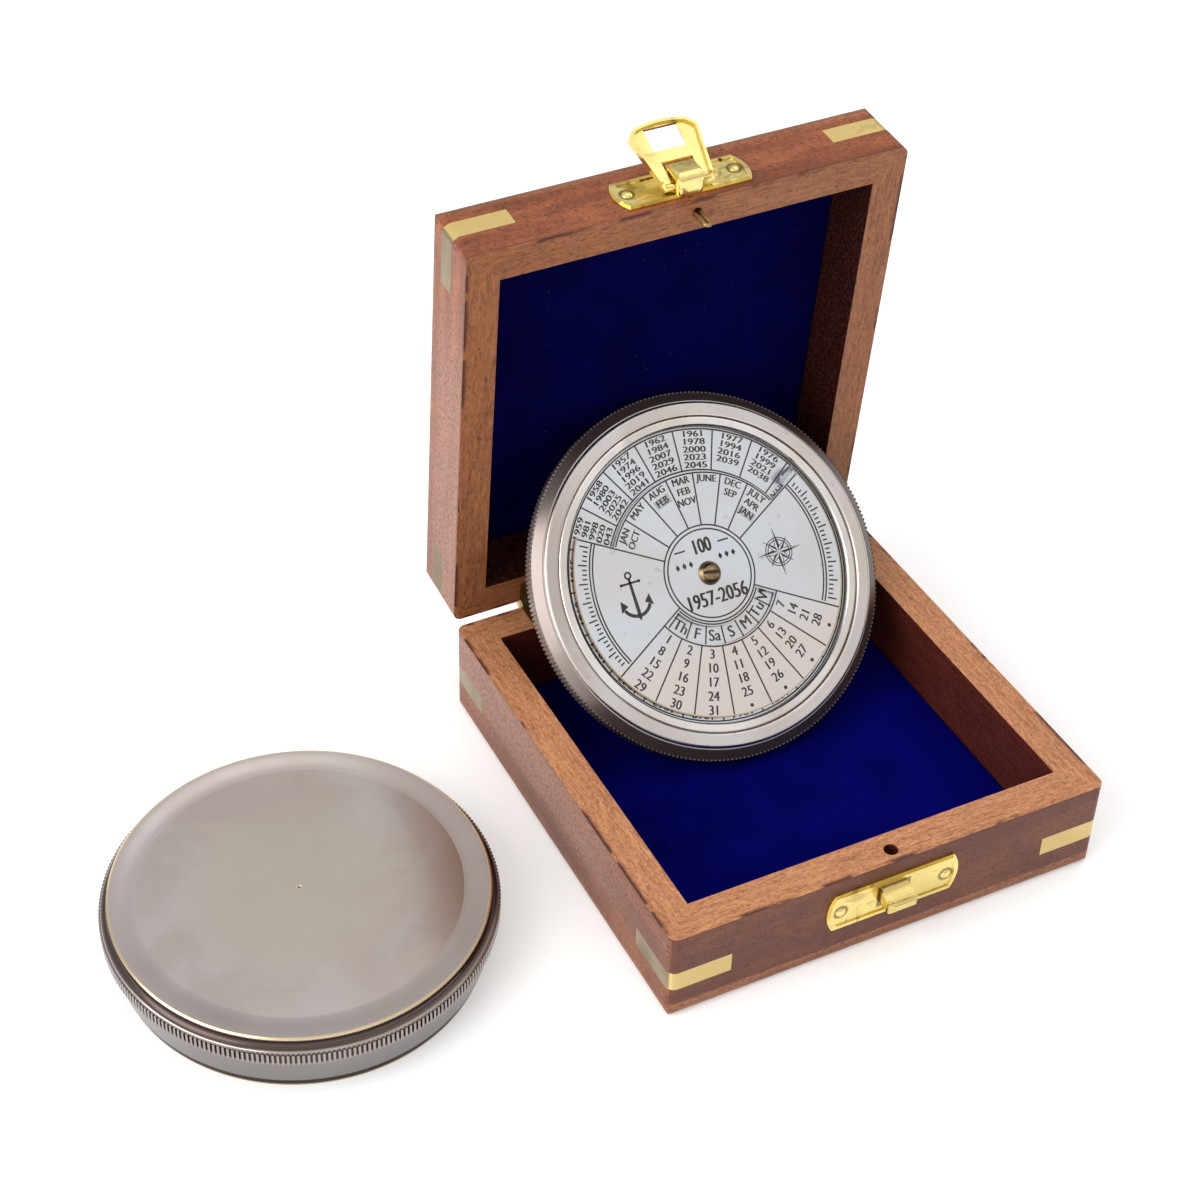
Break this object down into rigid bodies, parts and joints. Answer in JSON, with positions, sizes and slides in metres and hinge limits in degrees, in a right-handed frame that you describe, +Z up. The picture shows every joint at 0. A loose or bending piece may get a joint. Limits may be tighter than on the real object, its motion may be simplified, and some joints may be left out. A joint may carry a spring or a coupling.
{
  "type": "perpetual calendar compass",
  "caption": "Pocket compass with a perpetual calendar on its screw lid, in a hinged wooden case with brass inlays, a hasp and a velvet lining.",
  "frame": {"origin": "middle of the underside of the case's base, on the table", "axes": "+Z up, -Y out of the case's front, where the catch is, +X to the right seen from the front"},
  "size_m": [0.1973, 0.1224, 0.1329],
  "materials": {
    "walnut": "polished dark brown wood",
    "velvet": "royal blue velvet",
    "polished_brass": "polished",
    "dull_brass": "brushed, dulled",
    "antique_silver": "brass with an antique silver plating",
    "antique_brass": "darkened",
    "steel": "fine brushed",
    "glass": "clear, polished"
  },
  "bodies": {
    "case_base": {"base_front": "walnut", "base_back": "walnut", "base_left": "walnut", "base_right": "walnut", "base_board": "walnut", "base_velvet": "velvet", "base_inlays": "dull_brass", "base_hinge_leaves": "dull_brass", "base_hinge_screws": "dull_brass", "hinge_pins": "dull_brass", "catch_plate": "polished_brass", "catch_rivets": "polished_brass"},
    "case_lid": {"lid_front": "walnut", "lid_back": "walnut", "lid_left": "walnut", "lid_right": "walnut", "lid_board": "walnut", "lid_velvet": "velvet", "lid_inlays": "dull_brass", "lid_hinge_leaves": "dull_brass", "lid_hinge_screws": "dull_brass", "locating_pin": "dull_brass", "hasp_plate": "polished_brass", "hasp_rivets": "polished_brass"},
    "hasp": {"hasp": "polished_brass"},
    "calendar_lid": {"calendar_shell": "antique_silver", "calendar_bezel": "antique_silver", "year_plate": "antique_silver", "calendar_spacer": "antique_brass", "pivot_screw": "antique_brass", "pivot_nut": "antique_brass"},
    "calendar_plate": {"turning_plate": "antique_silver"},
    "bowl": {"bowl_shell": "antique_silver", "compass_card": "antique_brass", "pivot_pin": "steel", "compass_glass": "glass", "glass_ring": "antique_silver"},
    "needle": {"needle_blade": "steel", "needle_cap": "antique_brass"}
  },
  "joints": [
    {"name": "lid_hinge", "type": "hinge", "parent": "case_base", "child": "case_lid", "pos_m": [0, 0.0509, 0.02255], "axis": [1, 0, 0], "range_deg": [0, 85]},
    {"name": "calendar_lay", "type": "hinge", "parent": "case_lid", "child": "calendar_lid", "pos_m": [0, 0.03915, 0.05394], "axis": [1, 0, 0], "range_deg": [-130, 0]},
    {"name": "calendar_turn", "type": "hinge", "parent": "calendar_lid", "child": "calendar_plate", "pos_m": [0, 0.0264, 0.0384], "axis": [0, -0.7071, 0.7071], "continuous": true},
    {"name": "hasp_hinge", "type": "hinge", "parent": "case_lid", "child": "hasp", "pos_m": [0, 0.04536, 0.12546], "axis": [1, 0, 0], "range_deg": [-12, 160]},
    {"name": "bowl_turn", "type": "hinge", "parent": "case_base", "child": "bowl", "pos_m": [-0.107, 0.0425, 0.0075], "axis": [-1, 0, 0], "range_deg": [0, 180]},
    {"name": "needle_spin", "type": "hinge", "parent": "bowl", "child": "needle", "pos_m": [-0.107, 0, 0.006], "axis": [0, 0, 1], "continuous": true}
  ],
  "couplings": [
    {"joint": "calendar_lay", "follows": "lid_hinge", "ratio": -1.5294}
  ]
}
